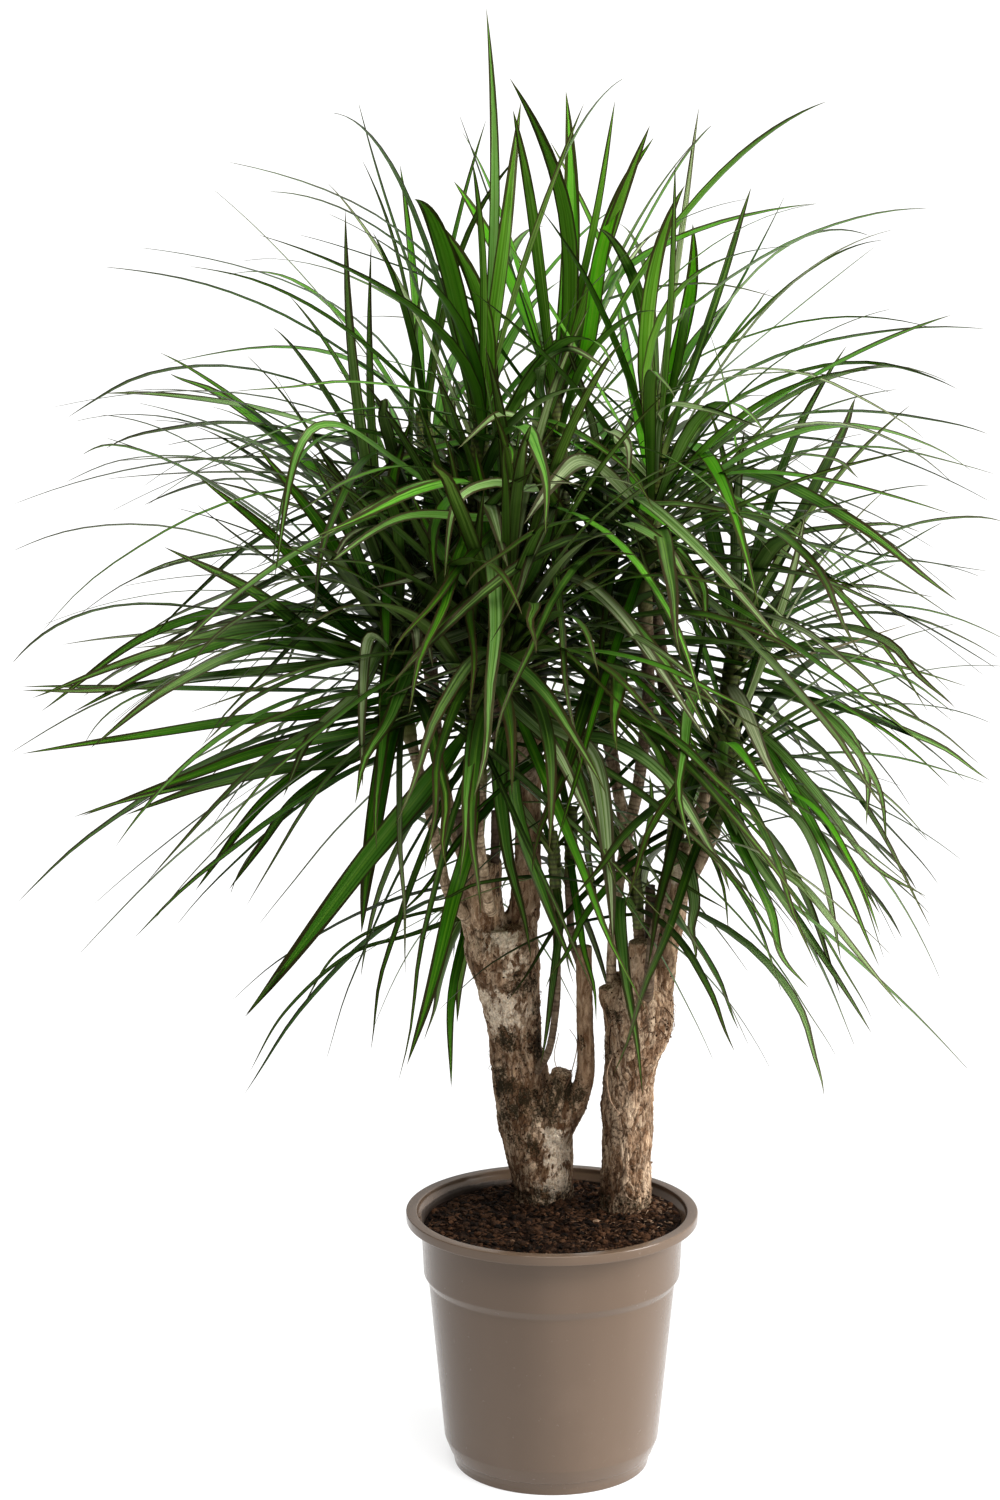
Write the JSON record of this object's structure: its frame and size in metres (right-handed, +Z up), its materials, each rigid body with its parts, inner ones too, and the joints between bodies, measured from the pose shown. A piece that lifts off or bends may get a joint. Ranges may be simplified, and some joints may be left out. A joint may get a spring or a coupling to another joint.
{
  "type": "potted dragon tree",
  "caption": "Dragon tree with cut-back woody trunks, thin canes and heads of long narrow arching leaves, standing in soil in a round nursery pot with a collar and a rolled rim.",
  "frame": {"origin": "centre of the flat underside of the pot's base", "axes": "+Z up along the pot's axis, -Y towards the side the picture shows, +X to that view's right"},
  "size_m": [0.8954, 0.8558, 1.33],
  "materials": {
    "pot_plastic": "satin taupe injection-moulded plastic",
    "peat_soil": "loose dark peat with bark fibres",
    "bark": "rough scaly bark, brown with cream patches",
    "leaf_green": "satin green leaf with dark red-brown margins"
  },
  "bodies": {
    "root": {"pot": "pot_plastic", "soil": "peat_soil", "trunk_left": "bark", "trunk_right": "bark", "leaves_top": "leaf_green", "leaves_top_left": "leaf_green", "leaves_back_left": "leaf_green", "leaves_right": "leaf_green", "leaves_back_right": "leaf_green", "leaves_front": "leaf_green", "leaves_front_low": "leaf_green", "leaves_left": "leaf_green", "leaves_left_back": "leaf_green", "leaves_right_back": "leaf_green", "leaves_right_low": "leaf_green", "leaves_middle": "leaf_green", "sprout_right": "leaf_green", "sprout_middle": "leaf_green", "sprout_back": "leaf_green", "sprout_thin": "leaf_green", "sprout_twig": "leaf_green"}
  },
  "joints": []
}
